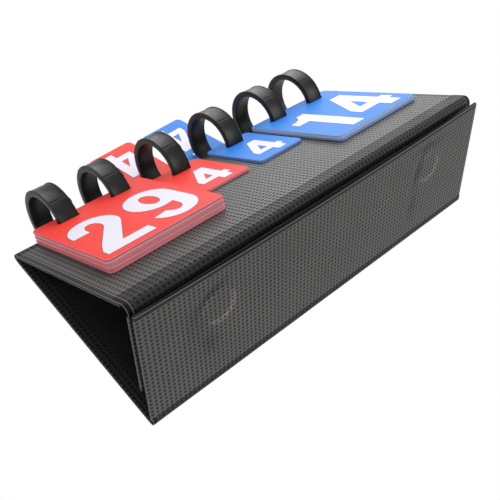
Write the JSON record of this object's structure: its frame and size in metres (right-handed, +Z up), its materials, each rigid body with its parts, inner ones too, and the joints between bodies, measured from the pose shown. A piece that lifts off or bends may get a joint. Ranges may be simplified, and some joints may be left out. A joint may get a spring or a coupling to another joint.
{
  "type": "flip scoreboard",
  "caption": "Folding tabletop flip scoreboard: covered boards make a three-sided stand, and red and blue number cards turn over on plastic snap rings along its ridge.",
  "frame": {"origin": "centre of the object's bounding box at the surface it stands on", "axes": "+X along the ridge from the red end to the blue end, -Y to the front where the numbers are read, +Z up"},
  "size_m": [0.385, 0.1115, 0.2693],
  "materials": {
    "leather_cover": "dimpled black leatherette, satin",
    "lining": "matt black lining",
    "greyboard": "dense grey board",
    "magnet_steel": "nickel-plated magnet and keeper discs",
    "ring_plastic": "black moulded plastic, satin",
    "red_card": "printed red plastic sheet, satin",
    "blue_card": "printed blue plastic sheet, satin",
    "number_white": "printed white ink"
  },
  "bodies": {
    "base": {"base_cover": "leather_cover", "base_core": "greyboard", "base_lining": "lining", "base_magnets": "magnet_steel", "rear_fold_strip": "leather_cover"},
    "back": {"back_cover": "leather_cover", "back_core": "greyboard", "back_lining": "lining"},
    "front": {"front_cover": "leather_cover", "front_core": "greyboard", "front_lining": "lining", "ridge_fold_strip": "leather_cover", "front_fold_strip": "leather_cover", "red_score_stack": "red_card", "blue_score_stack": "blue_card"},
    "flap": {"flap_cover": "leather_cover", "flap_core": "greyboard", "flap_lining": "lining", "flap_keepers": "magnet_steel"},
    "ring_1": {"ring_1_base": "ring_plastic"},
    "ring_2": {"ring_2_base": "ring_plastic"},
    "ring_3": {"ring_3_base": "ring_plastic"},
    "ring_4": {"ring_4_base": "ring_plastic"},
    "ring_5": {"ring_5_base": "ring_plastic"},
    "ring_6": {"ring_6_base": "ring_plastic"},
    "clasp_1": {"ring_1_clasp": "ring_plastic"},
    "clasp_2": {"ring_2_clasp": "ring_plastic"},
    "clasp_3": {"ring_3_clasp": "ring_plastic"},
    "clasp_4": {"ring_4_clasp": "ring_plastic"},
    "clasp_5": {"ring_5_clasp": "ring_plastic"},
    "clasp_6": {"ring_6_clasp": "ring_plastic"},
    "red_card": {"red_score_card": "red_card", "red_score_number": "number_white"},
    "red_set": {"red_set_pack": "red_card", "red_set_number": "number_white"},
    "red_turned": {"red_turned_pack": "red_card", "red_turned_number": "number_white"},
    "blue_card": {"blue_score_card": "blue_card", "blue_score_number": "number_white"},
    "blue_set": {"blue_set_pack": "blue_card", "blue_set_number": "number_white"},
    "blue_turned": {"blue_turned_pack": "blue_card", "blue_turned_number": "number_white"}
  },
  "joints": [
    {"name": "base_fold", "type": "hinge", "parent": "base", "child": "back", "pos_m": [0, 0.05255, 0.0032], "axis": [-1, 0, 0], "range_deg": [0, 95]},
    {"name": "ridge_fold", "type": "hinge", "parent": "back", "child": "front", "pos_m": [0, -0.00475, 0.1641], "axis": [-1, 0, 0], "range_deg": [0, 45]},
    {"name": "flap_fold", "type": "hinge", "parent": "front", "child": "flap", "pos_m": [0, -0.0489, 0.013], "axis": [1, 0, 0], "range_deg": [0, 72]},
    {"name": "ring_1_turn", "type": "hinge", "parent": "front", "child": "ring_1", "pos_m": [-0.1435, -0.00475, 0.1845], "axis": [1, 0, 0], "range_deg": [-20, 20]},
    {"name": "ring_2_turn", "type": "hinge", "parent": "front", "child": "ring_2", "pos_m": [-0.0915, -0.00475, 0.1845], "axis": [1, 0, 0], "range_deg": [-20, 20]},
    {"name": "ring_3_turn", "type": "hinge", "parent": "front", "child": "ring_3", "pos_m": [-0.028, -0.00475, 0.1845], "axis": [1, 0, 0], "range_deg": [-45, 30]},
    {"name": "ring_4_turn", "type": "hinge", "parent": "front", "child": "ring_4", "pos_m": [0.0375, -0.00475, 0.1845], "axis": [1, 0, 0], "range_deg": [-45, 30]},
    {"name": "ring_5_turn", "type": "hinge", "parent": "front", "child": "ring_5", "pos_m": [0.098, -0.00475, 0.1845], "axis": [1, 0, 0], "range_deg": [-20, 20]},
    {"name": "ring_6_turn", "type": "hinge", "parent": "front", "child": "ring_6", "pos_m": [0.15, -0.00475, 0.1845], "axis": [1, 0, 0], "range_deg": [-20, 20]},
    {"name": "ring_1_open", "type": "hinge", "parent": "ring_1", "child": "clasp_1", "pos_m": [-0.1435, 0.02172, 0.17216], "axis": [-1, 0, 0], "range_deg": [0, 70]},
    {"name": "ring_2_open", "type": "hinge", "parent": "ring_2", "child": "clasp_2", "pos_m": [-0.0915, 0.02172, 0.17216], "axis": [-1, 0, 0], "range_deg": [0, 70]},
    {"name": "ring_3_open", "type": "hinge", "parent": "ring_3", "child": "clasp_3", "pos_m": [-0.028, 0.02172, 0.17216], "axis": [-1, 0, 0], "range_deg": [0, 70]},
    {"name": "ring_4_open", "type": "hinge", "parent": "ring_4", "child": "clasp_4", "pos_m": [0.0375, 0.02172, 0.17216], "axis": [-1, 0, 0], "range_deg": [0, 70]},
    {"name": "ring_5_open", "type": "hinge", "parent": "ring_5", "child": "clasp_5", "pos_m": [0.098, 0.02172, 0.17216], "axis": [-1, 0, 0], "range_deg": [0, 70]},
    {"name": "ring_6_open", "type": "hinge", "parent": "ring_6", "child": "clasp_6", "pos_m": [0.15, 0.02172, 0.17216], "axis": [-1, 0, 0], "range_deg": [0, 70]},
    {"name": "red_card_flip", "type": "hinge", "parent": "front", "child": "red_card", "pos_m": [-0.1175, -0.00475, 0.1845], "axis": [1, 0, 0], "range_deg": [-306, 0]},
    {"name": "blue_card_flip", "type": "hinge", "parent": "front", "child": "blue_card", "pos_m": [0.124, -0.00475, 0.1845], "axis": [1, 0, 0], "range_deg": [-306, 0]},
    {"name": "red_set_flip", "type": "hinge", "parent": "front", "child": "red_set", "pos_m": [-0.028, -0.00475, 0.1845], "axis": [1, 0, 0], "range_deg": [-150, 0]},
    {"name": "blue_set_flip", "type": "hinge", "parent": "front", "child": "blue_set", "pos_m": [0.0375, -0.00475, 0.1845], "axis": [1, 0, 0], "range_deg": [-150, 0]},
    {"name": "red_turned_swing", "type": "hinge", "parent": "clasp_3", "child": "red_turned", "pos_m": [-0.028, 0.01695, 0.20404], "axis": [1, 0, 0], "range_deg": [-88, 0]},
    {"name": "blue_turned_swing", "type": "hinge", "parent": "clasp_4", "child": "blue_turned", "pos_m": [0.0375, 0.01695, 0.20404], "axis": [1, 0, 0], "range_deg": [-88, 0]}
  ]
}
